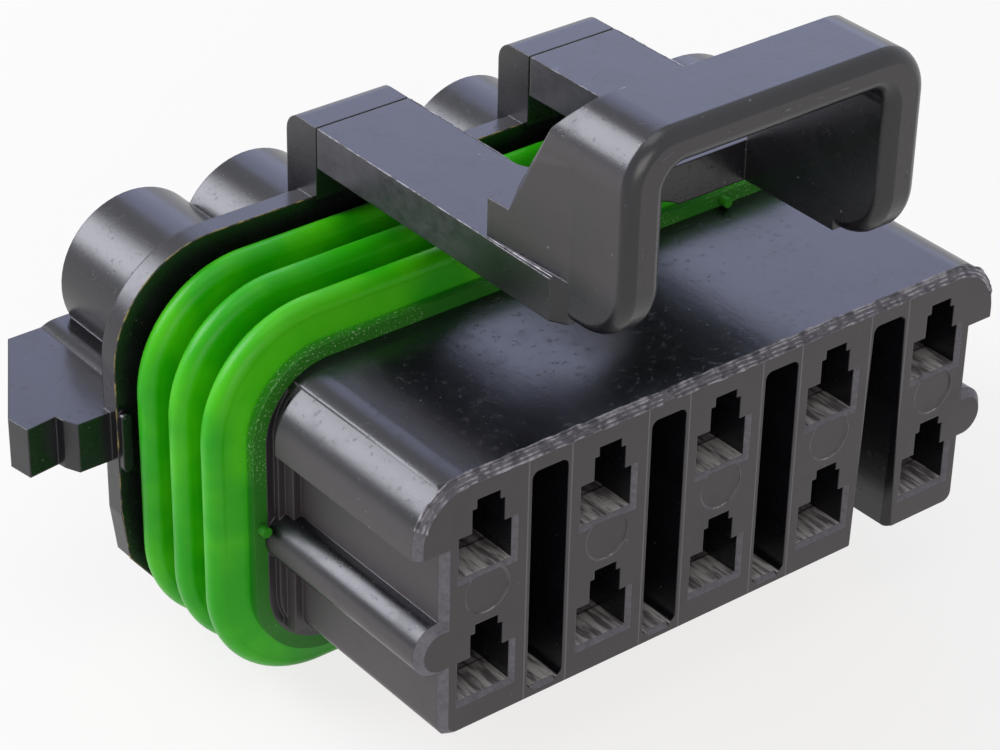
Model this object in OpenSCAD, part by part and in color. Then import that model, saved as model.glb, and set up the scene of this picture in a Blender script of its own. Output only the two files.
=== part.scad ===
// Sealed two-row wire connector: moulded housing, sprung latch loop, ribbed perimeter seal
// and one wire seal in each rear tower.
// +X is to the right and +Z up when looking at the mating face; the wires leave towards +Y.
// The origin is the centre of the contact pattern, on the mating face.

/* [Contact pattern] */
// Contacts in each of the two rows
columns = 5; // [3:1:6]
// Distance between neighbouring contacts in a row
column_pitch = 8; // [7.8:0.1:9]
// Distance between the two rows
row_pitch = 7.8; // [7.6:0.1:8.6]

/* [Cavity window] */
// Width of the wide lower part of a window
window_w = 3.4; // [3:0.1:4]
// Height of the wide lower part
window_h = 2.7; // [2.2:0.1:2.8]
// Width of the middle part
window_mid_w = 2.1; // [1.8:0.1:2.6]
// Height of the middle part
window_mid_h = 1.42; // [1:0.1:1.6]
// Width of the top part
window_top_w = 1.5; // [1:0.1:1.7]
// Height of the top part
window_top_h = 0.55; // [0.3:0.05:0.7]
// Depth of a window's front wall
window_depth = 2.4; // [1.5:0.1:4]
// Size of the lead-in bevel below and beside a window's wide part
window_lead = 0.25; // [0.1:0.05:0.5]
// Radius of the shallow ejector marks between the rows
mark_r = 1.4; // [0.8:0.05:1.5]
// Depth of those marks
mark_d = 0.06; // [0.03:0.01:0.15]

/* [Front block] */
// Side wall outside the last contact's axis
block_side = 2.85; // [2.6:0.05:4]
// Wall above the upper row's axis
block_over = 3.5; // [3.2:0.1:5]
// Wall below the lower row's axis
block_under = 4.84; // [4.4:0.1:6]
// Length of the block in front of the seal
block_l = 13.6; // [11:0.1:20]
// Bevel round the mating face
face_bevel = 0.43; // [0.2:0.01:0.6]
// Width of the slots between the columns
slot_w = 2.4; // [1.6:0.1:2.8]
// Depth of the slots
slot_l = 11.4; // [6:0.1:12.4]
// Wall above the slots
slot_over = 1.34; // [1:0.1:2]
// Wall below the closed slots
slot_under = 0.97; // [0.7:0.1:1.6]
// Corner radius of the slots
slot_r = 0.45; // [0.2:0.05:0.8]
// Bevel at the lower front edge of the closed slots
slot_lead = 0.25; // [0.1:0.05:0.5]

/* [Shoulders and side ridges] */
// How far the rounded shoulders stand out past the side walls
shoulder_out = 1.72; // [1:0.02:2.4]
// Radius of the shoulders
shoulder_r = 3.4; // [2:0.1:3.6]
// Height of the shoulders' underside above the pattern's centre
shoulder_z = 3.45; // [2:0.05:4]
// Length of the shoulders
shoulder_l = 12.35; // [8:0.05:13]
// Radius of the half-round side ridges
ridge_r = 1.62; // [1:0.02:2]
// Height of the ridges' centre above the lower row's axis
ridge_up = 1.15; // [0.5:0.05:2]

/* [Seal carrier] */
// How far the carrier stands out past the side walls
carrier_out = 1.45; // [1.45:0.05:2.5]
// How far the carrier reaches below the block
carrier_drop = 1.86; // [1:0.02:3]
// Corner radius of the carrier
carrier_r = 4.2; // [3:0.1:5]
// Length of the carrier, from the block to the flange
carrier_l = 9.35; // [9:0.05:12]
// Height of each of the two steps in front of the carrier
collar_step = 0.5; // [0.3:0.05:0.6]
// Length of each of the two steps
collar_l = 0.75; // [0.4:0.05:1]

/* [Perimeter seal] */
// Number of ribs
ribs = 3; // [2:1:3]
// Height of the rib crests above the carrier
rib_h = 2.8; // [2:0.1:3.4]
// Radius of the rib crests
rib_r = 0.8; // [0.5:0.05:1]
// Distance between ribs
rib_pitch = 3.07; // [2.6:0.01:3.4]
// Distance from the last rib's crest to the flange
rib_end = 1.45; // [1.2:0.05:2]
// Thickness of the seal between the ribs
seal_web = 1.15; // [0.8:0.05:1.6]
// Thickness of the flat lip in front
seal_lip = 0.8; // [0.5:0.05:1.1]
// Radius of the two small pegs left on the lip's front edge
peg_r = 0.3; // [0.2:0.01:0.38]
// Length of those pegs
peg_l = 0.6; // [0.4:0.05:1.2]

/* [Flange] */
// Thickness of the flange
flange_t = 1.32; // [1:0.02:2.5]
// How far the flange stands out past the carrier at the sides
flange_out = 3.4; // [3:0.1:5]
// How far the flange stands out above the carrier
flange_over = 3.55; // [3:0.05:5]
// How far the flange reaches below the carrier
flange_under = 2.8; // [2:0.1:4]
// Corner radius of the flange
flange_r = 6.6; // [5:0.1:7.5]
// Width of the cut across the flange's lower corners
flange_cut_w = 4.5; // [3.6:0.1:5.5]
// Height of that cut
flange_cut_h = 6; // [4.8:0.1:7]

/* [Wire towers] */
// Outer radius of a tower
tower_r = 4.73; // [4.3:0.01:5.2]
// Length of the towers behind the flange
tower_l = 9.33; // [8:0.01:14]
// Bevel round a tower's rear edge
tower_bevel = 0.35; // [0.1:0.05:0.6]
// Radius of the wire seal's bore
bore_r = 3.45; // [3:0.05:3.5]
// Depth of that bore
bore_l = 8; // [7.5:0.1:8.5]
// Radius of the spine along each side, between the rows
spine_r = 1.8; // [1:0.1:2.4]
// Distance of that spine's centre outside the last contact's axis
spine_out = 5.1; // [4:0.1:6]

/* [Wire seals] */
// Radius of the hole for the wire
wire_hole_r = 1.2; // [0.7:0.05:1.7]
// Length of a wire seal
wire_seal_l = 6.6; // [5:0.1:7]
// Ribs round a wire seal
wire_ribs = 3; // [2:1:3]
// Height of those ribs
wire_rib_h = 0.4; // [0.2:0.05:0.6]

/* [Side lugs] */
// Height of a lug
lug_h = 3.1; // [2:0.1:4]
// Reach of a lug past the spine's centre, at its rear end
lug_rear = 3.1; // [2:0.1:4]
// Reach of a lug past the spine's centre, at its widest
lug_reach = 7.4; // [6:0.1:9]
// Length of the lug's slanting side
lug_slant_l = 7.2; // [5:0.1:8]
// Depth of the small notch at the lug's root
lug_notch = 0.75; // [0.3:0.05:1]

/* [Latch posts] */
// Gap between the two posts and between the two arms
arm_gap = 8.62; // [7:0.02:10]
// Width of a post and of an arm
arm_w = 6.23; // [4:0.01:7]
// Depth of a post
post_d = 2.8; // [2:0.1:3.5]
// How far a post stands in front of the flange
post_front = 0.45; // [0.2:0.05:0.8]
// Height of the arms' underside above the flange
arm_clear = 2.05; // [1:0.05:4]
// Radius of a post's rear top edge
post_r = 1.2; // [0.3:0.1:1.3]

/* [Latch] */
// Thickness of the arms
arm_t = 2.45; // [1.8:0.05:3]
// Gap between an arm's root and its post
latch_gap = 0.1; // [0.05:0.01:0.2]
// How far the loop reaches in front of the mating face
loop_front = 2.9; // [1:0.1:5]
// Height of the loop's top above the arms' underside
loop_h = 12; // [9:0.1:15]
// Width of the opening in the loop
loop_open_w = 15; // [12:0.1:15.2]
// Thickness of the loop's top bar
bar_t = 2.2; // [2:0.1:3]
// Depth of the loop's top, from front to back
bar_d = 5; // [4:0.1:6]
// Outer corner radius of the loop
loop_r = 3; // [1:0.1:3.5]
// Corner radius of the opening
loop_open_r = 1.2; // [0.6:0.1:2]
// Radius of the fillet round the loop's outer front edge
loop_edge_r = 0.95; // [0.3:0.05:1]
// Radius of the fillet round the opening's front edge
open_edge_r = 0.95; // [0.3:0.05:1]
// Radius under the front of the cheeks
cheek_r = 3.5; // [2:0.1:4.5]
// Distance of the cheeks' rear end behind the mating face
cheek_back = 7.6; // [6:0.1:9]
// Height of the cheeks' rear end above the arms
cheek_step = 2.25; // [1:0.05:4]
// Inset of the cheeks from the arms' outer sides, in front
cheek_inset = 0.49; // [0.2:0.01:0.8]
// How much of that inset is gone at the cheeks' rear end
cheek_taper = 0.35; // [0:0.01:0.45]
// Depth of the lock bar between the arms
lock_d = 4; // [2:0.1:6]
// Radius of the fillets behind the lock bar
lock_fillet = 1.5; // [0.5:0.1:2]
// Height of the arch under the lock bar
lock_arch = 0.8; // [0.4:0.1:1.2]
// Half the width of that arch
lock_arch_w = 2.8; // [1.5:0.1:3.5]

/* [Hidden] */
$fn = 64;
housing_colour = "#2b2c31";
seal_colour = "#2ea51f";
over = 1;  // how far a cutting shape runs past what it cuts
bite = 0.4;  // how far a joined shape runs into its neighbour

// Stations along Y
carrier_y = block_l;
flange_y = carrier_y + carrier_l;
tower_y = flange_y + flange_t;
rear_y = tower_y + tower_l;
bore_y = rear_y - bore_l;
post_y = flange_y - post_front;
arm_y = post_y - latch_gap;

// Half widths and heights of the outlines
last_x = (columns - 1) / 2 * column_pitch;
block_x = last_x + block_side;
block_top = row_pitch / 2 + block_over;
block_bottom = -row_pitch / 2 - block_under;
carrier_x = block_x + carrier_out;
carrier_bottom = block_bottom - carrier_drop;
flange_x = carrier_x + flange_out;
flange_top = block_top + flange_over;
flange_bottom = carrier_bottom - flange_under;
spine_x = last_x + spine_out;

// The latch
arm_z = flange_top + arm_clear;
arm_top = arm_z + arm_t;
arm_in = arm_gap / 2;
arm_out = arm_in + arm_w;
cheek_x = arm_out - cheek_inset;
loop_top = arm_z + loop_h;
bar_back = bar_d - loop_front;
cheek_top = arm_top + cheek_step;
open_x = loop_open_w / 2;
open_top = loop_top - bar_t;
inset_y = 1.4;  // the arms' outer strips start here and widen over the next strip_l
strip_l = 0.9;
foot_y = 6;  // the slanting rear face meets the outer side of a cheek here
lean = (foot_y - bar_back) / (loop_top - cheek_top);  // of that rear face, per mm of height

// The perimeter seal's pegs, as X and Z of their axes
pegs = [[11.56, block_top + seal_lip / 2], [-carrier_x - seal_lip / 2, -1.8]];

function column_x(i) = (i - (columns + 1) / 2) * column_pitch;
function row_z(upper) = upper ? row_pitch / 2 : -row_pitch / 2;

// Points of an arc from angle a0 to a1
function arc(cx, cy, r, a0, a1, n = 12) =
    [for (k = [0:n]) let (a = a0 + (a1 - a0) * k / n) [cx + r * cos(a), cy + r * sin(a)]];

// Extrudes an outline drawn in X and Z along Y
module along_y(y0, y1) {
    translate([0, y1, 0])
        rotate([90, 0, 0])
            linear_extrude(y1 - y0)
                children();
}

// Extrudes a side view drawn in Y and Z along X
module along_x(x0, x1) {
    translate([x0, 0, 0])
        rotate([90, 0, 90])
            linear_extrude(x1 - x0)
                children();
}

module both_sides() {
    children();
    mirror([1, 0, 0])
        children();
}

module rounded_outline(half_w, bottom, top, r) {
    translate([-half_w + r, bottom])
        square([2 * (half_w - r), top - bottom]);
    translate([-half_w, bottom + r])
        square([2 * half_w, top - bottom - 2 * r]);
    for (x = [r - half_w, half_w - r], z = [bottom + r, top - r])
        translate([x, z])
            circle(r);
}

// ---- Housing ----

module block_outline(inset = 0) {
    translate([-block_x + inset, block_bottom])
        square([2 * (block_x - inset), block_top - block_bottom - inset]);
}

module shoulder_outline() {
    intersection() {
        rounded_outline(block_x + shoulder_out, block_bottom, block_top, shoulder_r);
        translate([-2 * block_x, shoulder_z])
            square([4 * block_x, block_top]);
    }
}

// Cutters that bevel the edges of the mating face, with a ring round each shoulder
module face_bevels() {
    corner = [[-over, -over], [face_bevel + over, -over], [-over, face_bevel + over]];
    corner_x = block_x + shoulder_out - shoulder_r;
    translate([-corner_x, 0, block_top])
        rotate([0, 90, 0])
            linear_extrude(2 * corner_x)
                polygon(corner);
    both_sides() {
        translate([block_x, 0, 2 * block_bottom])
            linear_extrude(shoulder_z - 2 * block_bottom)
                mirror([1, 0])
                    polygon(corner);
        translate([block_x + shoulder_out, 0, shoulder_z - over])
            linear_extrude(block_top - shoulder_r - shoulder_z + over)
                mirror([1, 0])
                    polygon(corner);
        translate([corner_x, 0, block_top - shoulder_r])
            rotate([-90, 0, 0])
                rotate([0, 0, -90])
                    rotate_extrude(angle = 90)
                        translate([shoulder_r, 0])
                            mirror([1, 0])
                                polygon(corner);
    }
}

module slots() {
    for (i = [1:columns - 1]) {
        open_below = i == columns - 1;
        low = open_below ? block_bottom - over : block_bottom + slot_under;
        translate([(column_x(i) + column_x(i + 1)) / 2, 0, 0]) {
            along_y(-over, slot_l)
                rounded_outline(slot_w / 2, low, block_top - slot_over, slot_r);
            if (!open_below)
                translate([slot_r - slot_w / 2, 0, low])
                    rotate([90, 0, 90])
                        linear_extrude(slot_w - 2 * slot_r)
                            polygon([[-over, -slot_lead - over], [slot_lead + slot_r, slot_r],
                                [-over, slot_r]]);
        }
    }
}

module window_outline() {
    translate([-window_w / 2, -window_h])
        square([window_w, window_h]);
    translate([-window_mid_w / 2, -window_h])
        square([window_mid_w, window_h + window_mid_h]);
    translate([-window_top_w / 2, -window_h])
        square([window_top_w, window_h + window_mid_h + window_top_h]);
}

// Bevels below and beside a window's wide part, mitred where they meet
module window_lead_in() {
    far = window_lead + over;
    low = -window_h - far;
    intersection() {
        translate([0, 0, low])
            linear_extrude(-low)
                polygon([[-window_w / 2 - far, -over], [window_w / 2 + far, -over],
                    [window_w / 2, window_lead], [-window_w / 2, window_lead]]);
        along_x(-window_w / 2 - far, window_w / 2 + far)
            polygon([[-over, low], [window_lead, -window_h], [window_lead, 0], [-over, 0]]);
    }
}

// One contact's passage: window, lead-in, chamber and the bore for its wire seal
module passage() {
    chamber_w = window_w + 0.2;
    chamber_h = window_h + window_mid_h + window_top_h;
    along_y(-over, window_depth + over)
        window_outline();
    translate([-chamber_w / 2, window_depth, -window_h - 0.1])
        cube([chamber_w, bore_y - window_depth + over, chamber_h + 0.1]);
    window_lead_in();
    translate([0, bore_y, 0])
        rotate([-90, 0, 0])
            cylinder(r = bore_r, h = bore_l + over);
}

// The lower corners are cut in two slants, a steep one and then the main one
module flange_outline() {
    steep_w = 0.4;
    steep_z = flange_cut_h * (1 - steep_w / flange_cut_w);
    difference() {
        rounded_outline(flange_x, flange_bottom, flange_top, flange_r);
        both_sides()
            translate([flange_x, flange_bottom])
                polygon([[over, -over], [-flange_cut_w - over * flange_cut_w / flange_cut_h, -over],
                    [-steep_w, steep_z], [0, steep_z + 3], [over, steep_z + 3]]);
    }
}

module tower(x, z) {
    translate([x, flange_y, z])
        rotate([-90, 0, 0]) {
            cylinder(r = tower_r, h = rear_y - flange_y - tower_bevel);
            translate([0, 0, rear_y - flange_y - tower_bevel])
                cylinder(r1 = tower_r, r2 = tower_r - tower_bevel, h = tower_bevel);
        }
}

module towers() {
    for (i = [1:columns], upper = [false, true])
        tower(column_x(i), row_z(upper));
    along_y(flange_y, rear_y)
        translate([-spine_x, -spine_r])
            square([2 * spine_x, 2 * spine_r]);
    both_sides()
        translate([spine_x, flange_y, 0])
            rotate([-90, 0, 0])
                cylinder(r = spine_r, h = rear_y - flange_y);
}

module lug() {
    slant_y = rear_y - lug_slant_l;
    translate([spine_x, 0, -lug_h / 2])
        linear_extrude(lug_h)
            polygon([[-bite, rear_y], [lug_rear, rear_y], [lug_reach, slant_y],
                [lug_reach - 0.25, tower_y + 0.5], [lug_reach - 2.2, tower_y + lug_notch],
                [lug_reach - 2.3, tower_y + 0.2], [lug_reach - 2.7, tower_y - flange_t / 2],
                [-bite, tower_y - flange_t / 2]]);
}

module post() {
    back = post_y + post_d;
    along_x(arm_in, arm_out)
        polygon(concat(
            [[post_y, flange_top], [flange_y, flange_top], [flange_y, block_top], [back, block_top]],
            arc(back - post_r, arm_top - post_r, post_r, 0, 90, 8),
            [[post_y, arm_top]]));
}

// Small round-ended pad on the flange's front face, beside each lug
module flange_pad() {
    along_y(flange_y - 0.45, flange_y + bite)
        translate([flange_x - 0.36, 0])
            rounded_pad();
}

module rounded_pad() {
    translate([-0.33, -lug_h / 2])
        square([0.66, lug_h]);
    for (z = [-lug_h / 2, lug_h / 2])
        translate([0, z])
            circle(0.33);
}

module housing_solid() {
    difference() {
        union() {
            along_y(0, carrier_y + bite)
                block_outline();
            along_y(0, shoulder_l)
                shoulder_outline();
        }
        face_bevels();
    }
    both_sides()
        translate([block_x, 0, row_z(false) + ridge_up])
            rotate([-90, 0, 0]) {
                cylinder(r1 = ridge_r - face_bevel, r2 = ridge_r, h = face_bevel);
                translate([0, 0, face_bevel])
                    cylinder(r = ridge_r, h = carrier_y - face_bevel);
            }
    along_y(carrier_y - 1.5 * collar_l, carrier_y + bite)
        translate([-block_x - collar_step, block_bottom])
            square([2 * (block_x + collar_step), shoulder_z - block_bottom + bite]);
    along_y(carrier_y - collar_l / 2, carrier_y + bite)
        rounded_outline(carrier_x - collar_step, carrier_bottom + collar_step,
            block_top, carrier_r - collar_step);
    along_y(carrier_y, flange_y + bite)
        rounded_outline(carrier_x, carrier_bottom, block_top, carrier_r);
    along_y(flange_y, tower_y)
        flange_outline();
    towers();
    both_sides() {
        lug();
        post();
        flange_pad();
    }
}

module housing() {
    color(housing_colour)
        difference() {
            housing_solid();
            slots();
            for (i = [1:columns], upper = [false, true])
                translate([column_x(i), 0, row_z(upper)])
                    passage();
            for (i = [1:columns])
                translate([column_x(i), -over, 0])
                    rotate([-90, 0, 0])
                        cylinder(r = mark_r, h = over + mark_d);
        }
}

// ---- Latch ----

// Side view of a cheek, with the slanting rear face of the loop
module cheek_side() {
    polygon(concat(
        arc(cheek_r - loop_front, arm_z + cheek_r, cheek_r, 180, 270, 16),
        [[cheek_back, arm_z], [cheek_back, cheek_top], [foot_y + 1.8, cheek_top],
            [bar_back, loop_top], [-loop_front, loop_top]]));
}

module loop_outline() {
    difference() {
        rounded_outline(cheek_x, arm_z - 2 * loop_r, loop_top, loop_r);
        rounded_outline(open_x, arm_z - 3 * loop_r, open_top, loop_open_r);
    }
}

// What a fillet takes off a square edge, in section; X and Y run into the two faces
module edge_cut(r, past = over) {
    difference() {
        translate([-past, -past])
            square(r + past);
        translate([r, r])
            circle(1.03 * r);
    }
}

// Fillet round the loop's outer front edge, down both cheeks and back under them
module outer_edge_cuts() {
    translate([0, -loop_front, 0])
        along_x_at([0, loop_top], cheek_x - loop_r)
            mirror([0, 1])
                edge_cut(loop_edge_r);
    both_sides() {
        translate([cheek_x - loop_r, -loop_front, loop_top - loop_r])
            rotate([-90, 0, 0])
                rotate([0, 0, -90])
                    rotate_extrude(angle = 90)
                        translate([loop_r, 0])
                            mirror([1, 0])
                                edge_cut(loop_edge_r);
        translate([cheek_x, -loop_front, arm_z + cheek_r])
            linear_extrude(loop_h - cheek_r - loop_r)
                mirror([1, 0])
                    edge_cut(loop_edge_r);
        cheek_turn()
            translate([cheek_r, cheek_x])
                rotate(180)
                    edge_cut(loop_edge_r);
        along_y(cheek_r - loop_front, inset_y)
            translate([cheek_x, arm_z])
                mirror([1, 0])
                    edge_cut(loop_edge_r);
    }
}

// Fillet round the opening's front edge, down to the cheeks' undersides
module opening_edge_cuts() {
    translate([0, -loop_front, 0])
        along_x_at([0, open_top], open_x - loop_open_r)
            edge_cut(open_edge_r, bite);
    both_sides() {
        translate([open_x - loop_open_r, -loop_front, open_top - loop_open_r])
            rotate([-90, 0, 0])
                rotate([0, 0, -90])
                    rotate_extrude(angle = 90)
                        translate([loop_open_r, 0])
                            edge_cut(open_edge_r, bite);
        translate([open_x, -loop_front, arm_z + cheek_r])
            linear_extrude(open_top - loop_open_r - arm_z - cheek_r)
                edge_cut(open_edge_r, bite);
        cheek_turn()
            translate([cheek_r, open_x])
                mirror([1, 0])
                    edge_cut(open_edge_r, bite);
    }
}

// Extrudes a side view to both sides of the middle, with its zero at the given Y and Z
module along_x_at(yz, half) {
    along_x(-half, half)
        translate(yz)
            children();
}

// Turns a section about the axis of the round under a cheek's front; its X is the radius
module cheek_turn() {
    translate([0, cheek_r - loop_front, arm_z + cheek_r])
        rotate([0, 90, 0])
            rotate([0, 0, -90])
                rotate_extrude(angle = 90)
                    children();
}

// The cheek's outer face leans out a little towards its rear end
module cheek_wedge() {
    corner_z = loop_top - loop_r;
    intersection() {
        translate([0, 0, arm_z])
            linear_extrude(loop_h)
                polygon([[cheek_x - bite, inset_y], [cheek_x, inset_y],
                    [cheek_x + cheek_taper, cheek_back], [cheek_x - bite, cheek_back]]);
        along_x(cheek_x - over, arm_out + over)
            cheek_side();
        along_y(-loop_front, cheek_back + over)
            polygon([[cheek_x - bite, arm_z - over], [arm_out + over, arm_z - over],
                [arm_out + over, corner_z - 5 * (arm_out + over - cheek_x)], [cheek_x, corner_z],
                [cheek_x - bite, corner_z]]);
    }
}

// Cuts the outer rear corner of a cheek along the slanting face
module cheek_corner() {
    intersection() {
        translate([0, foot_y, cheek_top])
            rotate([atan(lean), 0, 0])
                translate([0, 0, -4])
                    linear_extrude(2 * loop_h)
                        polygon([[arm_out, -0.2], [open_x - 0.4, 2.4], [open_x - 0.4, 6],
                            [arm_out + over, 6], [arm_out + over, -0.2]]);
        translate([0, -loop_front, cheek_top])
            cube([2 * arm_out, 20, loop_h]);
    }
}

module arm() {
    along_x(arm_in, arm_out)
        translate([cheek_back, arm_z])
            square([arm_y - cheek_back, arm_t]);
    translate([0, 0, arm_z])
        linear_extrude(arm_t)
            polygon([[cheek_x - bite, inset_y], [cheek_x, inset_y], [arm_out, inset_y + strip_l],
                [arm_out, cheek_back + bite], [cheek_x - bite, cheek_back + bite]]);
}

module lock_bar() {
    arch_r = (pow(lock_arch_w, 2) + pow(lock_arch, 2)) / (2 * lock_arch);
    back = cheek_back + lock_d;
    difference() {
        translate([-arm_in - bite, cheek_back, arm_z])
            cube([arm_gap + 2 * bite, lock_d + lock_fillet, arm_t]);
        translate([0, 0, arm_z - over])
            linear_extrude(arm_t + 2 * over) {
                translate([-arm_in + lock_fillet, back])
                    square([arm_gap - 2 * lock_fillet, lock_fillet + over]);
                both_sides()
                    translate([arm_in - lock_fillet, back + lock_fillet])
                        circle(lock_fillet);
            }
        translate([0, cheek_back - over, arm_z + lock_arch - arch_r])
            rotate([-90, 0, 0])
                cylinder(r = arch_r, h = lock_d + 2 * over);
    }
}

module latch() {
    color(housing_colour) {
        both_sides()
            arm();
        lock_bar();
        difference() {
            union() {
                intersection() {
                    along_x(-cheek_x, cheek_x)
                        cheek_side();
                    along_y(-loop_front - over, cheek_back + over)
                        loop_outline();
                }
                both_sides()
                    cheek_wedge();
            }
            both_sides()
                cheek_corner();
            outer_edge_cuts();
            opening_edge_cuts();
        }
    }
}

// ---- Seals ----

// Section of the perimeter seal: X is the height above the carrier, Y the distance from its front
module seal_section() {
    last = carrier_l - rib_end;
    first = last - (ribs - 1) * rib_pitch;
    square([seal_lip, carrier_l]);
    translate([0, first - rib_r])
        square([seal_web, last - first + 2 * rib_r]);
    for (k = [0:ribs - 1])
        translate([0, first + k * rib_pitch]) {
            polygon([[0, -1.15 * rib_r - 0.3], [rib_h - rib_r, -rib_r],
                [rib_h - rib_r, rib_r], [0, 1.15 * rib_r + 0.3]]);
            translate([rib_h - rib_r, 0])
                circle(rib_r);
        }
}

module perimeter_seal() {
    side = block_top - carrier_bottom - 2 * carrier_r;
    across = 2 * (carrier_x - carrier_r);
    middle = (block_top + carrier_bottom) / 2;
    color(seal_colour) {
        for (at = pegs)
            translate([at[0], carrier_y + bite, at[1]])
                rotate([90, 0, 0])
                    cylinder(r = peg_r, h = peg_l + bite);
        translate([0, carrier_y, middle])
            for (q = [0:3]) {
                run = q % 2 == 0 ? side : across;
                out = q % 2 == 0 ? across / 2 : side / 2;
                rotate([0, 90 * q, 0]) {
                    translate([out + carrier_r, 0, -run / 2])
                        linear_extrude(run)
                            seal_section();
                    translate([out, 0, run / 2])
                        rotate([-90, 0, 0])
                            rotate([0, 0, -90])
                                rotate_extrude(angle = 90)
                                    translate([carrier_r, 0])
                                        seal_section();
                }
            }
    }
}

// One silicone wire seal, seated against the end of its bore
module wire_seal(i, upper) {
    rib = wire_seal_l / (2 * wire_ribs + 1);
    color(seal_colour)
        translate([column_x(i), bore_y, row_z(upper)])
            rotate([-90, 0, 0])
                difference() {
                    union() {
                        cylinder(r = bore_r - wire_rib_h, h = wire_seal_l);
                        for (k = [0:wire_ribs - 1])
                            translate([0, 0, (2 * k + 1) * rib])
                                cylinder(r = bore_r, h = rib);
                    }
                    translate([0, 0, -over])
                        cylinder(r = wire_hole_r, h = wire_seal_l + 2 * over);
                }
}

housing();
latch();
perimeter_seal();
for (i = [1:columns]) {
    wire_seal(i, true);
    wire_seal(i, false);
}
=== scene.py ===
"""Looks of a sealed two-row wire connector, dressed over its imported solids."""

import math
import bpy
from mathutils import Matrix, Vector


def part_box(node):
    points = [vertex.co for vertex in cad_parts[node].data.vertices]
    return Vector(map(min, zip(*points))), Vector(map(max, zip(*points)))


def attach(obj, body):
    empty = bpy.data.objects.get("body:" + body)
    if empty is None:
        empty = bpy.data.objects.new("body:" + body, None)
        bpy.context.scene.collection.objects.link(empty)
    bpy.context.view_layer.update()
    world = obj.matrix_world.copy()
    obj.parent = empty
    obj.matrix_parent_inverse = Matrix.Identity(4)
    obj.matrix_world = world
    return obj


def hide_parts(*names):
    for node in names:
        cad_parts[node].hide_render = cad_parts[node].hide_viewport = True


bl_info = {
    "name": "Sealed Wire Connector",
    "version": (1, 0, 0),
    "blender": (4, 5, 0),
    "location": "View3D > Sidebar > Connector",
    "description": "Moulded plastic, silicone and mould flash for a sealed wire connector",
    "category": "Object",
}

import bmesh
import bpy
from bpy.props import FloatProperty, FloatVectorProperty, IntProperty, PointerProperty
from mathutils import Matrix, Vector

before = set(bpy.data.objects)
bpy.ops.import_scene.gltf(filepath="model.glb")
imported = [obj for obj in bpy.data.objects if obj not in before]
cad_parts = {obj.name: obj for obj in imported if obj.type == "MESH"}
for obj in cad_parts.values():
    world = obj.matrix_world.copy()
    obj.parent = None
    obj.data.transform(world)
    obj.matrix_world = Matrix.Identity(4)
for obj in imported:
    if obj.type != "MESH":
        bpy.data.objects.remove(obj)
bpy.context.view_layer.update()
MM = 0.001
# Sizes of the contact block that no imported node's box gives, in millimetres
BLOCK_HALF, BLOCK_TOP, BLOCK_BASE, BLOCK_LENGTH = 18.85, 7.4, -8.74, 13.6
FACE_BEVEL, SHOULDER_R, SHOULDER_HALF = 0.43, 3.4, 20.57
OPEN_SLOT_X, SLOT_HALF = 12.0, 1.2
# Where the shoulders end, and where their round has sunk into the seal carrier's
SHOULDER_LENGTH, CARRIER_BLEND, CARRIER_END, CARRIER_HALF, CARRIER_R = 12.35, 13.1, 22.9, 20.3, 4.2
LATCH_LO, LATCH_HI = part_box("latch")
HOUSING_LO, HOUSING_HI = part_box("housing")
SEAL_LO, SEAL_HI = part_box("perimeter_seal")


# ---- Colours, nodes and meshes ----


def linear(hex_colour):
    """An sRGB hex colour as linear RGBA."""
    parts = [int(hex_colour[i : i + 2], 16) / 255 for i in (1, 3, 5)]
    return (*[c / 12.92 if c <= 0.04045 else ((c + 0.055) / 1.055) ** 2.4 for c in parts], 1.0)


def add(tree, kind, values=None, **settings):
    """Adds a node; settings are its properties, values its inputs by name or number, linked if sockets."""
    node = tree.nodes.new(kind)
    for key, value in settings.items():
        setattr(node, key, value)
    for key, value in (values or {}).items():
        if isinstance(value, bpy.types.NodeSocket):
            tree.links.new(value, node.inputs[key])
        else:
            node.inputs[key].default_value = value
    return node


def new_material(name):
    """An empty node material with its output."""
    material = bpy.data.materials.new(name)
    material.use_nodes = True
    material.node_tree.nodes.clear()
    return material, material.node_tree, add(material.node_tree, "ShaderNodeOutputMaterial")


def dress(names, material):
    """Gives carried-over CAD nodes their material."""
    for name in names:
        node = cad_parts[name]
        node.data.materials.clear()
        node.data.materials.append(material)


def wire_object(name, runs):
    """An object of bare edges, one polyline for each run of points in millimetres."""
    mesh = bpy.data.meshes.new(name)
    points, edges = [], []
    for run in runs:
        first = len(points)
        points += [Vector(p) * MM for p in run]
        edges += [(first + k, first + k + 1) for k in range(len(run) - 1)]
    mesh.from_pydata(points, edges, [])
    shape = bpy.data.objects.new(name, mesh)
    bpy.context.scene.collection.objects.link(shape)
    return shape


def bake(shape):
    """Turns the evaluated shape into a plain mesh and removes its modifiers."""
    graph = bpy.context.evaluated_depsgraph_get()
    mesh = bpy.data.meshes.new_from_object(shape.evaluated_get(graph))
    shape.modifiers.clear()
    shape.data = mesh
    return shape


def arc(cx, cz, r, start, end, steps=10):
    """Points of an arc, in X and Z, from one angle to another in degrees."""
    turns = [math.radians(start + (end - start) * k / steps) for k in range(steps + 1)]
    return [(cx + r * math.cos(a), cz + r * math.sin(a)) for a in turns]


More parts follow.
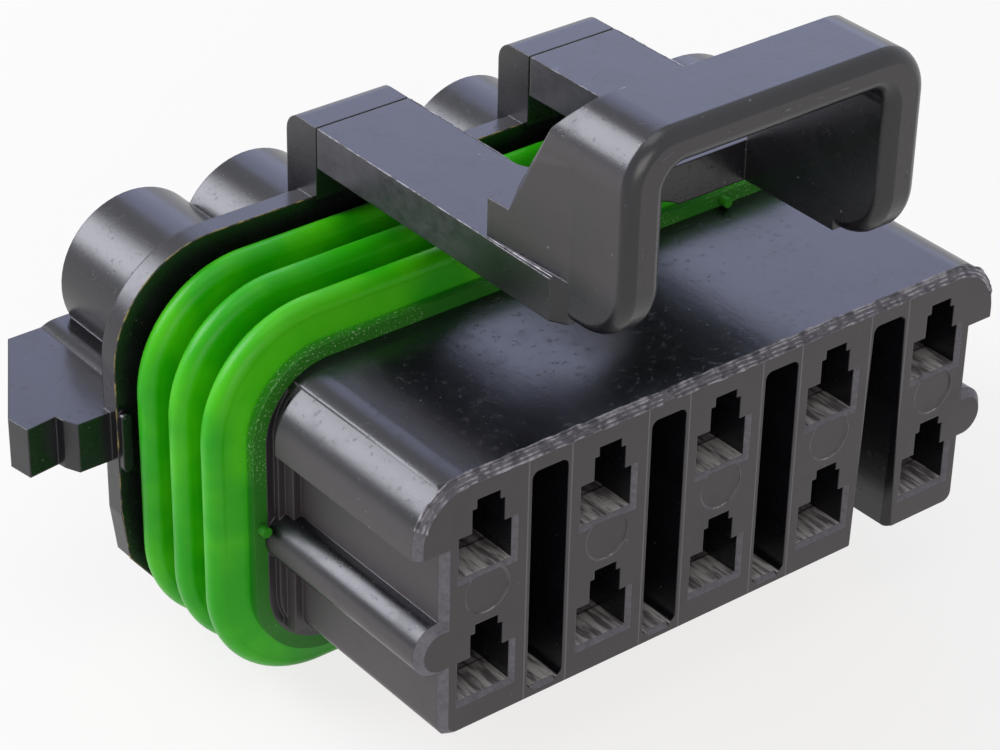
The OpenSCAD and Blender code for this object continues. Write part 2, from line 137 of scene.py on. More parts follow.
def round_corner(shape, centre, radius, corner, start, end, cuts=6):
    """Rounds one long corner, along Y from start to end, from its sharp point back to an arc."""
    cx, cz = centre
    sx, sz = math.copysign(1, corner[0] - cx), math.copysign(1, corner[1] - cz)
    for k in range(cuts + 1):
        turn = math.pi / 2 * k / cuts
        out = Vector((sx * math.cos(turn), 0, sz * math.sin(turn)))
        near = [
            f
            for f in shape.faces
            if any(
                start * MM - 1e-6 < v.co.y < end * MM + 1e-6
                and sx * (v.co.x - cx * MM) > -1 * MM
                and sz * (v.co.z - cz * MM) > -1 * MM
                for v in f.verts
            )
        ]
        geometry = list({v for f in near for v in f.verts}) + list({e for f in near for e in f.edges}) + near
        bmesh.ops.bisect_plane(
            shape, geom=geometry, dist=1e-7, plane_co=(cx * MM, 0, cz * MM), plane_no=(-out.z, 0, out.x)
        )
    layer = shape.loops.layers.float_vector["kept_normal"]
    for v in shape.verts:
        x, z = sx * (v.co.x / MM - cx), sz * (v.co.z / MM - cz)
        limit = radius - max(0.0, FACE_BEVEL - v.co.y / MM)
        in_corner = -1e-4 < x < abs(corner[0] - cx) + 1e-3 and -1e-4 < z < abs(corner[1] - cz) + 1e-3
        if in_corner and start * MM - 1e-6 < v.co.y < end * MM + 1e-6 and math.hypot(x, z) > limit + 1e-4:
            shrink = limit / math.hypot(x, z)
            v.co.x, v.co.z = (cx + sx * x * shrink) * MM, (cz + sz * z * shrink) * MM
            outward = Vector((sx * x, 0, sz * z)).normalized()
            for loop in v.link_loops:
                given = loop[layer]
                if abs(given.y) < 0.2:
                    loop[layer] = outward
                elif given.y < -0.2 and given.y > -0.95:
                    loop[layer] = (outward - Vector((0, 1, 0))).normalized()


def both_sides(run):
    """A run and its mirror image."""
    return [run, [(-x, y, z) for x, y, z in run]]


# ---- What a user would change ----


class ConnectorFinish(bpy.types.PropertyGroup):
    plastic: FloatVectorProperty(
        name="Plastic", description="Colour of the moulded plastic", subtype="COLOR", size=4, default=linear("#0f0e12")
    )
    silicone: FloatVectorProperty(
        name="Silicone", description="Colour of the seals", subtype="COLOR", size=4, default=linear("#25a502")
    )
    gloss: FloatProperty(
        name="Roughness", description="Roughness of the polished mould faces", default=0.27, min=0.05, max=0.8
    )
    grain: FloatProperty(
        name="Grain", description="Size of the grain on the spark-eroded faces, in millimetres", default=0.16
    )
    edge: FloatProperty(
        name="Edge Radius", description="Rounding of the moulded edges, in millimetres", default=0.13
    )


class ConnectorFlash(bpy.types.PropertyGroup):
    radius: FloatProperty(name="Radius", description="Thickness of the flash, in millimetres", default=0.055)
    ragged: FloatProperty(name="Raggedness", description="How far the flash wanders, in millimetres", default=0.09)
    step: FloatProperty(name="Step", description="Length of one step along the flash, in millimetres", default=0.22)
    seed: IntProperty(name="Seed", description="Fixed seed of the flash's wandering", default=7)


# ---- Materials ----


def plastic_material(name, finish, on_latch):
    """Glass-filled PBT, injection moulded: polished flats that mirror softly, dull spark-eroded fronts."""
    material, tree, out = new_material(name)
    place = add(tree, "ShaderNodeTexCoord")
    at = add(tree, "ShaderNodeSeparateXYZ", {0: place.outputs["Object"]})
    facing = add(tree, "ShaderNodeSeparateXYZ", {0: place.outputs["Normal"]})

    def maths(kind, *values):
        return add(tree, "ShaderNodeMath", dict(enumerate(values)), operation=kind).outputs[0]

    def between(value, low, high, to_low=0.0, to_high=1.0):
        return add(
            tree, "ShaderNodeMapRange", {0: value, 1: low, 2: high, 3: to_low, 4: to_high}, interpolation_type="SMOOTHSTEP"
        ).outputs[0]

    def noise(size_mm, detail=2.0, stretch=(1, 1, 1), rough=0.5):
        spread = add(tree, "ShaderNodeMapping", {0: place.outputs["Object"], 3: stretch})
        return add(
            tree, "ShaderNodeTexNoise", {"Vector": spread.outputs[0], "Scale": 1 / (size_mm * MM), "Detail": detail, "Roughness": rough}
        ).outputs[0]

    front = between(facing.outputs[1], -0.93, -0.99)
    upward = between(facing.outputs[2], 0.9, 0.98)
    # Grain left by spark erosion, drawn at twice its real size so that it shows
    grain = noise(finish.grain, 3.0)
    # Long waves in the polished faces, from melt flow towards the mating face
    flow = noise(2.6, 3.0, (1, 0.35, 1))
    streaks = noise(0.5, 2.0, (1, 0.12, 1))
    pits = between(noise(0.4, 4.0, rough=0.6), 0.62, 0.70)
    handling = between(noise(3.2, 5.0, rough=0.7), 0.5, 0.72)

    if on_latch:
        side = maths("ABSOLUTE", facing.outputs[0])
        side = between(side, 0.9, 0.98)
        crumble = maths("MULTIPLY", side, between(at.outputs[1], 6 * MM, 12 * MM))
        rough_area = maths("MULTIPLY", crumble, maths("MULTIPLY", noise(0.45, 4.0, (1, 0.6, 1)), 0.3))
        # Lighter matt grey on the loop's front and the cheeks' outer faces, not the inner ones: partly painted light
        matt_and_lit_faces = maths("MAXIMUM", maths("MULTIPLY", front, 0.5), maths("MULTIPLY", side, between(maths("ABSOLUTE", at.outputs[0]), 9 * MM, 9.8 * MM)))
        matt_and_lit_faces = maths("MULTIPLY", matt_and_lit_faces, between(at.outputs[2], 15 * MM, 17 * MM))
        dull = maths("MULTIPLY", matt_and_lit_faces, 0.1)
        line = maths("MULTIPLY", front, 0.0)
    else:
        # The front edge's bevel is left rough by the mould's parting
        low = between(at.outputs[1], 0.5 * MM, 0.4 * MM)
        bevel = maths("MULTIPLY", low, between(facing.outputs[1], -0.3, -0.5))
        bevel = maths("MULTIPLY", bevel, between(facing.outputs[1], -0.95, -0.85))
        rough_area = maths("MULTIPLY", bevel, noise(0.3, 4.0, rough=0.7))
        # Lighter matt grey on the front and the block's outer sides, not the slot walls: partly painted light
        side = between(maths("ABSOLUTE", facing.outputs[0]), 0.9, 0.98)
        side = maths("MULTIPLY", side, maths("GREATER_THAN", maths("ABSOLUTE", at.outputs[0]), (BLOCK_HALF - 0.1) * MM))
        matt_and_lit_faces = maths("MAXIMUM", maths("MULTIPLY", front, 0.8), side)
        matt_and_lit_faces = maths("MULTIPLY", matt_and_lit_faces, between(at.outputs[1], 14 * MM, 13 * MM))
        dull = maths("MULTIPLY", matt_and_lit_faces, 0.2)
        # Fine lines beside the slots, where the mould's inserts met
        aside = maths("PINGPONG", maths("ADD", at.outputs[0], 36 * MM), 4 * MM)
        line = maths("ABSOLUTE", maths("SUBTRACT", aside, 1.42 * MM))
        line = maths("MULTIPLY", between(line, 0.07 * MM, 0.02 * MM), front)
        line = maths("MULTIPLY", line, between(at.outputs[1], 1 * MM, 0.5 * MM))
        line = maths("MULTIPLY", line, between(maths("ABSOLUTE", at.outputs[0]), 16 * MM, 15.9 * MM))
        # Rims round the marks that the ejector pins left, raised in the bump, and drawn as broken pale arcs: a painted
        # highlight
        across = maths("PINGPONG", maths("ADD", at.outputs[0], 40 * MM), 4 * MM)
        reach = add(tree, "ShaderNodeCombineXYZ", {0: across, 2: at.outputs[2]})
        reach = add(tree, "ShaderNodeVectorMath", {0: reach.outputs[0]}, operation="LENGTH").outputs["Value"]
        rim = maths("ABSOLUTE", maths("SUBTRACT", reach, 1.4 * MM))
        rim = maths("MULTIPLY", between(rim, 0.09 * MM, 0.03 * MM), front)
        rim = maths("MULTIPLY", rim, between(noise(1.6, 1.0), 0.40, 0.55))
        line = maths("MAXIMUM", line, maths("MULTIPLY", rim, maths("LESS_THAN", at.outputs[1], 1 * MM)))
        # The upward-facing floors of the windows and slots are painted pale in streaks, strongest near the front and
        # gone by 4.5 mm in
        inside = maths("MULTIPLY", upward, maths("LESS_THAN", at.outputs[2], 6.5 * MM))
        inside = maths("MULTIPLY", inside, maths("LESS_THAN", maths("ABSOLUTE", at.outputs[0]), 18 * MM))
        inside = maths("MULTIPLY", inside, between(at.outputs[1], 4.5 * MM, 1.0 * MM))
        floor_streaks = between(noise(0.35, 3.0, (1, 0.15, 1), 0.6), 0.36, 0.62)
        pale_floor_streaks = maths("MULTIPLY", inside, maths("ADD", maths("MULTIPLY", floor_streaks, 0.75), 0.25))

    tone = add(
        tree,
        "ShaderNodeMix",
        {0: between(flow, 0.3, 0.75), 6: finish.plastic, 7: [c * 1.4 for c in finish.plastic[:3]] + [1]},
        data_type="RGBA",
    )
    # Spark-eroded faces scatter more light than the polished ones and look a warmer grey. This grey is partly painted
    # light: it lies only on the outer front and side faces that the lamps reach, and inner faces in shade keep the
    # black.
    tone = add(tree, "ShaderNodeMix", {0: matt_and_lit_faces, 6: tone.outputs[2], 7: linear("#393335")}, data_type="RGBA")
    # Chalky rub marks and specks of dust lift the black here and there; the pale arcs on the ejector rims among them
    # are a painted highlight
    specks = between(noise(0.32, 1.0), 0.77, 0.82)
    chalk_and_rim_highlight = maths("MAXIMUM", maths("MULTIPLY", specks, 0.5), maths("MULTIPLY", rough_area, 0.9))
    chalk_and_rim_highlight = maths("MAXIMUM", chalk_and_rim_highlight, maths("MULTIPLY", line, 0.4))
    colour = add(tree, "ShaderNodeMix", {0: chalk_and_rim_highlight, 6: tone.outputs[2], 7: linear("#85828a")}, data_type="RGBA")
    if not on_latch:
        colour = add(
            tree, "ShaderNodeMix", {0: pale_floor_streaks, 6: colour.outputs[2], 7: linear("#d5d1d0")}, data_type="RGBA"
        )

    rough = maths("ADD", maths("MULTIPLY", flow, 0.10), finish.gloss - 0.05)
    rough = maths("ADD", rough, dull)
    rough = maths("ADD", rough, maths("MULTIPLY", handling, 0.08))
    rough = maths("ADD", rough, maths("MULTIPLY", rough_area, 0.5))
    rough = maths("SUBTRACT", rough, maths("MULTIPLY", upward, 0.05))

    edges = add(tree, "ShaderNodeBevel", {"Radius": finish.edge * MM}, samples=6)
    waves = add(
        tree, "ShaderNodeBump", {"Strength": 0.35, "Distance": 0.06 * MM, "Height": flow, "Normal": edges.outputs[0]}
    )
    fine = maths("ADD", maths("MULTIPLY", grain, maths("ADD", maths("MULTIPLY", front, 0.8), 0.25)), maths("MULTIPLY", streaks, 0.25))
    fine = maths("SUBTRACT", fine, maths("MULTIPLY", pits, 0.6))
    fine = maths("ADD", fine, maths("MULTIPLY", rough_area, 2.5))
    fine = maths("ADD", fine, maths("MULTIPLY", line, 1.2))
    skin = add(
        tree, "ShaderNodeBump", {"Strength": 0.5, "Distance": 0.02 * MM, "Height": fine, "Normal": waves.outputs[0]}
    )
    shader = add(
        tree,
        "ShaderNodeBsdfPrincipled",
        {"Base Color": colour.outputs[2], "Roughness": rough, "IOR": 1.57, "Normal": skin.outputs[0]},
    )
    tree.links.new(shader.outputs[0], out.inputs["Surface"])
    return material


def silicone_material(name, finish, ribbed):
    """Liquid silicone rubber, moulded: saturated, faintly see-through, with a dry sheen on its crests."""
    material, tree, out = new_material(name)
    place = add(tree, "ShaderNodeTexCoord")
    at = add(tree, "ShaderNodeSeparateXYZ", {0: place.outputs["Object"]})

    def maths(kind, *values):
        return add(tree, "ShaderNodeMath", dict(enumerate(values)), operation=kind).outputs[0]

    def between(value, low, high):
        return add(tree, "ShaderNodeMapRange", {0: value, 1: low, 2: high}, interpolation_type="SMOOTHSTEP").outputs[0]

    def noise(size_mm, detail, rough=0.5):
        return add(
            tree,
            "ShaderNodeTexNoise",
            {"Vector": place.outputs["Object"], "Scale": 1 / (size_mm * MM), "Detail": detail, "Roughness": rough},
        ).outputs[0]

    cloud = noise(4.0, 2.0)
    skin = noise(0.22, 3.0)
    deep = linear("#08600c")
    tint = add(tree, "ShaderNodeMix", {0: between(cloud, 0.35, 0.7), 6: finish.silicone, 7: linear("#48bc04")}, data_type="RGBA")
    colour = tint.outputs[2]
    height = maths("MULTIPLY", skin, 0.5)
    rough = maths("ADD", maths("MULTIPLY", cloud, 0.12), 0.3)
    if ribbed:
        # The mould was rough between the ribs: a band of tiny bright specks lies in each valley
        crest = maths("PINGPONG", maths("SUBTRACT", at.outputs[1], (SEAL_HI[1] - 1.45 * MM - 6.14 * MM)), 1.535 * MM)
        valley = between(crest, 0.95 * MM, 1.3 * MM)
        fleck = maths("MULTIPLY", between(noise(0.16, 2.0, 0.7), 0.58, 0.68), maths("MULTIPLY", valley, between(cloud, 0.42, 0.6)))
        # Each valley is mixed towards a deep green: painted shade between the ribs
        shade = add(tree, "ShaderNodeMix", {0: maths("MULTIPLY", valley, 0.7), 6: colour, 7: deep}, data_type="RGBA")
        # Painted shade darkens the lip to a dull green where it meets the block
        lip = between(at.outputs[1], SEAL_LO[1] + 0.95 * MM, SEAL_LO[1] + 0.8 * MM)
        shade = add(
            tree, "ShaderNodeMix", {0: maths("MULTIPLY", lip, 0.6), 6: shade.outputs[2], 7: linear("#2f6b22")}, data_type="RGBA"
        )
        bright = add(
            tree, "ShaderNodeMix", {0: maths("MULTIPLY", fleck, 0.75), 6: shade.outputs[2], 7: linear("#b4dca4")}, data_type="RGBA"
        )
        colour = bright.outputs[2]
        height = maths("ADD", height, maths("MULTIPLY", fleck, 2.0))
        rough = maths("ADD", rough, maths("MULTIPLY", valley, 0.12))
    bump = add(tree, "ShaderNodeBump", {"Strength": 0.35, "Distance": 0.03 * MM, "Height": height})
    shader = add(
        tree,
        "ShaderNodeBsdfPrincipled",
        {
            "Base Color": colour,
            "Roughness": rough,
            "IOR": 1.41,
            "Specular IOR Level": 0.36,
            "Subsurface Weight": 0.12,
            "Subsurface Radius": (0.25, 1.0, 0.15),
            "Subsurface Scale": 0.8 * MM,
            "Sheen Weight": 0.04,
            "Sheen Roughness": 0.4,
            "Normal": bump.outputs[0],
        },
    )
    tree.links.new(shader.outputs[0], out.inputs["Surface"])
    return material


def bead_material(name, thin_colour, thick_colour):
    """Paper-thin plastic flash: torn, paler than the bulk, dull. The pale beads of painted highlight use it too."""
    material, tree, out = new_material(name)
    place = add(tree, "ShaderNodeTexCoord")
    torn = add(
        tree, "ShaderNodeTexNoise", {"Vector": place.outputs["Object"], "Scale": 1 / (0.6 * MM), "Detail": 3.0}
    )
    ramp = add(tree, "ShaderNodeMapRange", {0: torn.outputs[0], 1: 0.42, 2: 0.62})
    colour = add(
        tree, "ShaderNodeMix", {0: ramp.outputs[0], 6: linear(thick_colour), 7: linear(thin_colour)}, data_type="RGBA"
    )
    bump = add(tree, "ShaderNodeBump", {"Strength": 0.6, "Distance": 0.02 * MM, "Height": torn.outputs[0]})
    shader = add(
        tree,
        "ShaderNodeBsdfPrincipled",
        {"Base Color": colour.outputs[2], "Roughness": 0.42, "IOR": 1.52, "Normal": bump.outputs[0]},
    )
    tree.links.new(shader.outputs[0], out.inputs["Surface"])
    return material


# ---- Geometry Nodes ----


def flash_tree():
    """A ragged bead that follows an edge: resampled, shaken with a fixed seed, then given a thickness."""
    tree = bpy.data.node_groups.get("Ragged bead")
    if tree:
        return tree
    tree = bpy.data.node_groups.new("Ragged bead", "GeometryNodeTree")
    tree.is_modifier = True
    face = tree.interface
    face.new_socket("Geometry", in_out="INPUT", socket_type="NodeSocketGeometry")
    for name in ("Radius", "Raggedness", "Step", "Seed"):
        face.new_socket(name, in_out="INPUT", socket_type="NodeSocketFloat")
    face.new_socket("Material", in_out="INPUT", socket_type="NodeSocketMaterial")
    face.new_socket("Geometry", in_out="OUTPUT", socket_type="NodeSocketGeometry")
    given = add(tree, "NodeGroupInput").outputs
    line = add(tree, "GeometryNodeMeshToCurve", {"Mesh": given["Geometry"]})
    even = add(tree, "GeometryNodeResampleCurve", {"Curve": line.outputs[0], "Length": given["Step"]}, mode="LENGTH")
    shift = add(
        tree, "ShaderNodeTexNoise", {"W": given["Seed"], "Scale": 1 / (0.8 * MM), "Detail": 3.0}, noise_dimensions="4D"
    )
    tree.links.new(add(tree, "GeometryNodeInputPosition").outputs[0], shift.inputs["Vector"])
    centred = add(tree, "ShaderNodeVectorMath", {0: shift.outputs["Color"], 1: (0.5, 0.5, 0.5)}, operation="SUBTRACT")
    scaled = add(
        tree, "ShaderNodeVectorMath", {0: centred.outputs[0], "Scale": given["Raggedness"]}, operation="SCALE"
    )
    moved = add(tree, "GeometryNodeSetPosition", {"Geometry": even.outputs[0], "Offset": scaled.outputs[0]})
    thick = add(
        tree, "ShaderNodeMapRange", {0: shift.outputs[0], 1: 0.35, 2: 0.7, 3: 0.45, 4: 1.6}
    )
    sized = add(tree, "GeometryNodeSetCurveRadius", {"Curve": moved.outputs[0], "Radius": thick.outputs[0]})
    ring = add(tree, "GeometryNodeCurvePrimitiveCircle", {"Resolution": 7, "Radius": given["Radius"]})
    bead = add(
        tree,
        "GeometryNodeCurveToMesh",
        {"Curve": sized.outputs[0], "Profile Curve": ring.outputs[0], "Fill Caps": True},
    )
    if "Scale" in bead.inputs:
        tree.links.new(thick.outputs[0], bead.inputs["Scale"])
    soft = add(tree, "GeometryNodeSetShadeSmooth", {"Geometry": bead.outputs[0]})
    real = add(tree, "GeometryNodeRealizeInstances", {"Geometry": soft.outputs[0]})
    done = add(tree, "GeometryNodeSetMaterial", {"Geometry": real.outputs[0], "Material": given["Material"]})
    add(tree, "NodeGroupOutput", {"Geometry": done.outputs[0]})
    return tree


def ragged_bead(name, runs, material, body, scale=1.0, ragged=1.0, seed=0):
    """One bead along the given runs, made by the tree and baked: mostly flash, in places a painted highlight."""
    sizes = bpy.context.scene.connector_flash
    shape = wire_object(name, runs)
    modifier = shape.modifiers.new("Ragged bead", "NODES")
    modifier.node_group = flash_tree()
    values = {
        "Radius": sizes.radius * scale * MM,
        "Raggedness": sizes.ragged * ragged * MM,
        "Step": sizes.step * MM,
        "Seed": float(sizes.seed + seed),
        "Material": material,
    }
    for item in modifier.node_group.interface.items_tree:
        if item.in_out == "INPUT" and item.name in values:
            modifier[item.identifier] = values[item.name]
    bake(shape)
    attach(shape, body)
    return shape


# ---- Operators ----


class CONNECTOR_OT_stage(bpy.types.Operator):
    """Makes the camera, the soft lights, the pale floor and the white surroundings"""

    bl_idname = "connector.stage"
    bl_label = "Stage"

    def execute(self, context):
        scene = context.scene
        scene.view_settings.view_transform = "Standard"
        camera = bpy.data.objects.new("camera", bpy.data.cameras.new("camera"))
        scene.collection.objects.link(camera)
        # Azimuth, elevation and roll in degrees, focal length in pixels of a 1000 wide picture
        azimuth, elevation, roll, focal = -38.9001, 31.9521, 1.26307, 3212.17
        a, e, c, s = math.radians(azimuth), math.radians(elevation), math.cos(math.radians(roll)), math.sin(math.radians(roll))
        back = Vector((math.sin(a) * math.cos(e), -math.cos(a) * math.cos(e), math.sin(e)))
        right = Vector((math.cos(a), math.sin(a), 0))
        up = back.cross(right)
        turned = Matrix((c * right + s * up, c * up - s * right, back))
        offset = Vector((11.8951, -9.32574, -175.4556))
        place = -(turned.transposed() @ offset) + Vector((0.07, 0, -4.0))
        camera.matrix_world = Matrix.Translation(place * MM) @ turned.transposed().to_4x4()
        camera.data.sensor_width = 36
        camera.data.lens = focal * 36 / 1000
        camera.data.clip_start, camera.data.clip_end = 0.01, 10
        scene.camera = camera

        floor_mesh = bpy.data.meshes.new("floor")
        z = HOUSING_LO[2] - 0.02 * MM
        floor_mesh.from_pydata([(x, y, z) for x, y in ((-2, -2), (2, -2), (2, 2), (-2, 2))], [], [(0, 1, 2, 3)])
        floor = bpy.data.objects.new("floor", floor_mesh)
        scene.collection.objects.link(floor)
        material, tree, out = new_material("pale_paper_sweep")
        rays = add(tree, "ShaderNodeLightPath")
        seen = add(tree, "ShaderNodeMath", {0: rays.outputs["Is Camera Ray"], 1: rays.outputs["Is Glossy Ray"]}, operation="MAXIMUM")
        seen = add(tree, "ShaderNodeMath", {0: seen.outputs[0], 1: rays.outputs["Is Transmission Ray"]}, operation="MAXIMUM")
        paper = add(tree, "ShaderNodeBsdfDiffuse", {"Color": linear("#f4f3f2")})
        glow = add(tree, "ShaderNodeEmission", {"Color": linear("#fffefd"), "Strength": 1.0})
        share = add(tree, "ShaderNodeMath", {0: seen.outputs[0], 1: 0.8}, operation="MULTIPLY")
        both = add(tree, "ShaderNodeMixShader", {0: share.outputs[0], 1: paper.outputs[0], 2: glow.outputs[0]})
        tree.links.new(both.outputs[0], out.inputs["Surface"])
        floor_mesh.materials.append(material)

        world = bpy.data.worlds.new("white_surroundings")
        scene.world = world
        world.use_nodes = True
        tree = world.node_tree
        tree.nodes.clear()
        rays = add(tree, "ShaderNodeLightPath")
        seen = add(tree, "ShaderNodeMath", {0: rays.outputs["Is Camera Ray"], 1: rays.outputs["Is Glossy Ray"]}, operation="MAXIMUM")
        seen = add(tree, "ShaderNodeMath", {0: seen.outputs[0], 1: rays.outputs["Is Transmission Ray"]}, operation="MAXIMUM")
        strength = add(tree, "ShaderNodeMapRange", {0: seen.outputs[0], 3: 0.28, 4: 1.0})
        sky = add(tree, "ShaderNodeBackground", {"Color": linear("#f6f8ff"), "Strength": strength.outputs[0]})
        add(tree, "ShaderNodeOutputWorld", {"Surface": sky.outputs[0]})

        # A broad window behind on the left, a soft top light and a weak front fill
        lamps = (
            ("window_light", (-0.30, 0.38, 0.32), (0.32, 0.36), 2.9, "#f2f3ff"),
            ("rear_panel", (0.43, 0.53, 0.42), (0.50, 0.50), 0.95, "#b4c0ff"),
            ("top_light", (-0.05, -0.05, 0.55), (0.35, 0.35), 0.55, "#ffffff"),
            ("front_fill", (-0.25, -0.50, 0.20), (0.40, 0.30), 0.9, "#fff6f0"),
        )
        for name, where, size, power, colour in lamps:
            lamp = bpy.data.lights.new(name, "AREA")
            lamp.shape = "RECTANGLE"
            lamp.size, lamp.size_y = size
            lamp.energy = power
            lamp.color = linear(colour)[:3]
            shape = bpy.data.objects.new(name, lamp)
            shape.matrix_world = Matrix.Translation(where) @ Vector(where).to_track_quat("Z", "Y").to_matrix().to_4x4()
            scene.collection.objects.link(shape)
        return {"FINISHED"}


class CONNECTOR_OT_housing(bpy.types.Operator):
    """Gives the housing its moulded plastic"""

    bl_idname = "connector.housing"
    bl_label = "Housing"

    def execute(self, context):
        finish = context.scene.connector_finish
        plastic = plastic_material("moulded_black_pbt", finish, False)
        dress(["housing"], plastic)
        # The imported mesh's own normals ride along as a corner layer, so that its curves keep their shading
        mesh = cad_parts["housing"].data.copy()
        kept = mesh.attributes.new("kept_normal", "FLOAT_VECTOR", "CORNER")
        kept.data.foreach_set("vector", [c for normal in mesh.corner_normals for c in normal.vector])
        shape = bmesh.new()
        shape.from_mesh(mesh)
        bmesh.ops.remove_doubles(shape, verts=shape.verts, dist=1e-7)
        for side in (-1, 1):
            sharp = (side * BLOCK_HALF, BLOCK_TOP)
            for y in (SHOULDER_LENGTH, CARRIER_BLEND):
                near = [f for f in shape.faces if any(side * v.co.x > 16 * MM and v.co.z > 3 * MM for v in f.verts)]
                geometry = list({v for f in near for v in f.verts}) + list({e for f in near for e in f.edges}) + near
                bmesh.ops.bisect_plane(shape, geom=geometry, dist=1e-7, plane_co=(0, y * MM, 0), plane_no=(0, 1, 0))
            centre = (side * (SHOULDER_HALF - SHOULDER_R), BLOCK_TOP - SHOULDER_R)
            round_corner(shape, centre, SHOULDER_R, sharp, 0, SHOULDER_LENGTH, 18)
            centre = (side * (CARRIER_HALF - CARRIER_R), BLOCK_TOP - CARRIER_R)
            round_corner(shape, centre, CARRIER_R, sharp, CARRIER_BLEND, CARRIER_END, 18)
            for corner, radius, inward in (
                (side * BLOCK_HALF, 1.0, -side),
                (OPEN_SLOT_X + side * SLOT_HALF, 0.55, side),
            ):
                centre = (corner + inward * radius, BLOCK_BASE + radius)
                round_corner(shape, centre, radius, (corner, BLOCK_BASE), 0, BLOCK_LENGTH)
        bmesh.ops.remove_doubles(shape, verts=shape.verts, dist=1e-6)
        bmesh.ops.dissolve_degenerate(shape, edges=shape.edges, dist=1e-6)
        bmesh.ops.triangulate(shape, faces=[f for f in shape.faces if len(f.verts) > 3])
        mesh = bpy.data.meshes.new("housing_moulding")
        shape.to_mesh(mesh)
        shape.free()
        mesh.shade_smooth()
        normals = [corner.vector.normalized() for corner in mesh.attributes["kept_normal"].data]
        mesh.normals_split_custom_set(normals)
        mesh.attributes.remove(mesh.attributes["kept_normal"])
        mesh.materials.clear()
        mesh.materials.append(plastic)
        moulding = bpy.data.objects.new("housing_moulding", mesh)
        context.scene.collection.objects.link(moulding)
        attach(moulding, "connector")
        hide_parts("housing")
        return {"FINISHED"}


class CONNECTOR_OT_latch(bpy.types.Operator):
    """Gives the latch its moulded plastic"""

    bl_idname = "connector.latch"
    bl_label = "Latch"

    def execute(self, context):
        finish = context.scene.connector_finish
        dress(["latch"], plastic_material("moulded_black_pbt_latch", finish, True))
        return {"FINISHED"}


class CONNECTOR_OT_seals(bpy.types.Operator):
    """Gives the perimeter seal and the ten wire seals their silicone"""

    bl_idname = "connector.seals"
    bl_label = "Seals"

    def execute(self, context):
        finish = context.scene.connector_finish
        dress(["perimeter_seal"], silicone_material("moulded_green_silicone", finish, True))
        names = [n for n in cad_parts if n.startswith("wire_seal_")]
        if len(names) != 10:
            raise RuntimeError("expected ten wire seals")
        dress(names, silicone_material("wire_seal_silicone", finish, False))
        return {"FINISHED"}


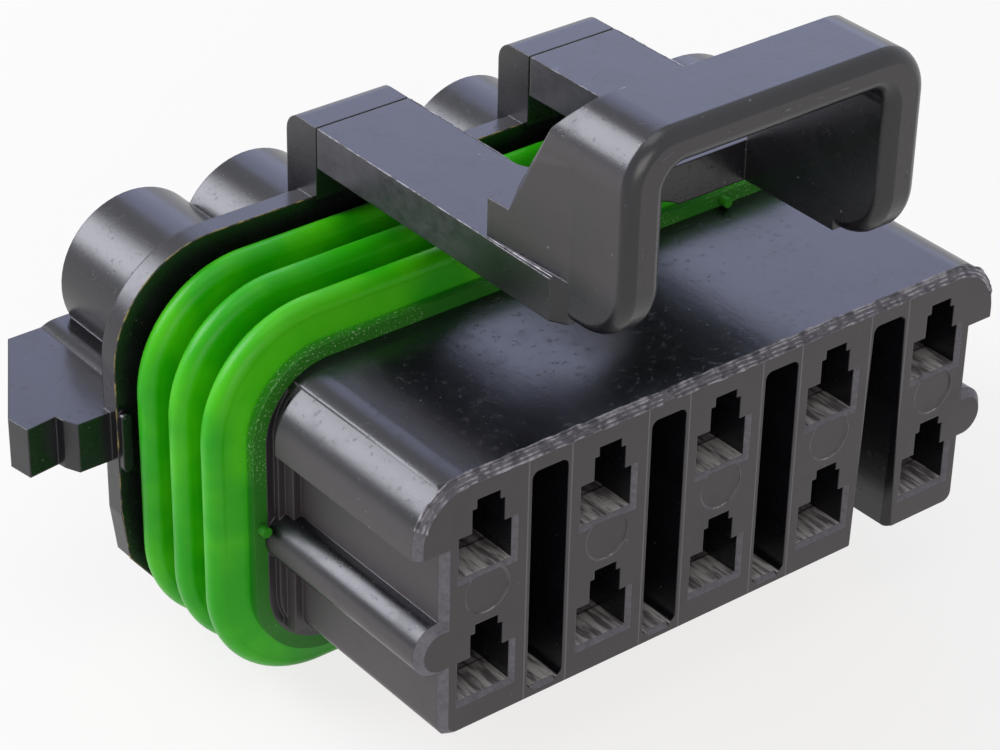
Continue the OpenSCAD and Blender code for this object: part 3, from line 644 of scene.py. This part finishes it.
class CONNECTOR_OT_flash(bpy.types.Operator):
    """Lays thin ragged flash along the mould's parting edges, and pale beads that paint highlights on the arms' edges
    and the cheeks' feet
    """

    bl_idname = "connector.flash"
    bl_label = "Mould Flash and Highlights"

    def execute(self, context):
        torn = bead_material("torn_flash_and_edge_highlight", "#a5a2a8", "#48464c")
        amber = bead_material("thin_amber_flash", "#8c7a45", "#26241f")
        cheek = LATCH_HI[0] / MM - 0.49
        top, front, rear = LATCH_HI[2] / MM - 0.12, LATCH_LO[1] / MM + 0.03, LATCH_LO[1] / MM + 5.0
        corner = [(x, rear, z) for x, z in arc(3 - cheek, top - 3, 3, 140, 90, 6)]
        ragged_bead("loop_rear_flash", [corner + [(cheek - 3, rear, top)]], torn, "latch", 1.6, 1.6)
        ring = arc(3 - cheek, top - 3, 2.0, 180, 90, 8) + arc(cheek - 3, top - 3, 2.0, 90, 0, 8)
        ring = [(1 - cheek, top - 8)] + ring + [(cheek - 1, top - 8)]
        seam = bead_material("soft_mould_seam", "#6d6c74", "#232227")
        ragged_bead("loop_front_seam", [[(x, front, z) for x, z in ring]], seam, "latch", 0.6, 0.25, 3)
        arm_z, arm_x, root = HOUSING_HI[2] / MM, LATCH_HI[0] / MM, LATCH_HI[1] / MM
        # Flash along the arms' outer and inner edges, whose pale torn colour also paints the edges' highlight
        runs = both_sides([(arm_x, root - 0.2, arm_z), (arm_x, 2.4, arm_z)])
        runs += both_sides([(4.31, root - 0.2, arm_z), (4.31, 13.4, arm_z)])
        ragged_bead("arm_edge_flash_and_highlight", runs, torn, "latch", 0.6, 0.5, 5)
        # A near-white bead along each cheek's foot, on the arm's ledge: painted highlight
        foot = both_sides([(10.42, 7.5, arm_z - 0.02), (10.3, 2.4, arm_z - 0.02)])
        ragged_bead("cheek_foot_highlight_bead", foot, bead_material("pale_ledge_highlight", "#d8d6da", "#7b7980"), "latch", 0.8, 0.3, 8)
        # The torn band along the block's front edge, with a nick left of the middle
        shoulder_x, shoulder_z = SHOULDER_HALF - SHOULDER_R, BLOCK_TOP - SHOULDER_R
        runs = []
        for depth, nick in ((0.0, 0.5), (0.15, 0.35), (0.33, 0.2), (FACE_BEVEL, 0.45)):
            r = SHOULDER_R - FACE_BEVEL + depth
            left = arc(-shoulder_x, shoulder_z, r, 160, 90, 8)
            right = arc(shoulder_x, shoulder_z, r, 90, 20, 8)
            z = shoulder_z + r
            runs += [[(x, depth, z) for x, z in left + [(-4.1 - nick, z)]]]
            runs += [[(x, depth, z) for x, z in [(nick - 4.1, z)] + right]]
        ragged_bead("mating_edge_flash", runs, torn, "connector", 1.3, 1.6, 11)
        y, top_z = SEAL_HI[1] / MM + 0.02, 10.95
        side = [(10.6, top_z)] + arc(17.1, 4.35, 6.6, 90, 0, 14) + [(23.7, -4.4), (23.3, -7.93), (19.3, -13.25)]
        runs = both_sides([(x, y, z) for x, z in side]) + [[(-4.2, y, top_z), (4.2, y, top_z)]]
        ragged_bead("flange_rim_flash", runs, amber, "connector", 0.75, 0.9, 17)
        return {"FINISHED"}


class CONNECTOR_PT_panel(bpy.types.Panel):
    bl_label = "Sealed Wire Connector"
    bl_idname = "CONNECTOR_PT_panel"
    bl_space_type = "VIEW_3D"
    bl_region_type = "UI"
    bl_category = "Connector"

    def draw(self, context):
        for group in (context.scene.connector_finish, context.scene.connector_flash):
            for name in group.__annotations__:
                self.layout.prop(group, name)
        for operator in OPERATORS:
            self.layout.operator(operator.bl_idname)


OPERATORS = (
    CONNECTOR_OT_stage,
    CONNECTOR_OT_housing,
    CONNECTOR_OT_latch,
    CONNECTOR_OT_seals,
    CONNECTOR_OT_flash,
)
CLASSES = (ConnectorFinish, ConnectorFlash, *OPERATORS, CONNECTOR_PT_panel)


def register():
    for cls in CLASSES:
        bpy.utils.register_class(cls)
    bpy.types.Scene.connector_finish = PointerProperty(type=ConnectorFinish)
    bpy.types.Scene.connector_flash = PointerProperty(type=ConnectorFlash)


def unregister():
    del bpy.types.Scene.connector_flash
    del bpy.types.Scene.connector_finish
    for cls in reversed(CLASSES):
        bpy.utils.unregister_class(cls)


def main():
    register()
    for operator in OPERATORS:
        group, name = operator.bl_idname.split(".")
        getattr(getattr(bpy.ops, group), name)()


if __name__ == "__main__":
    main()
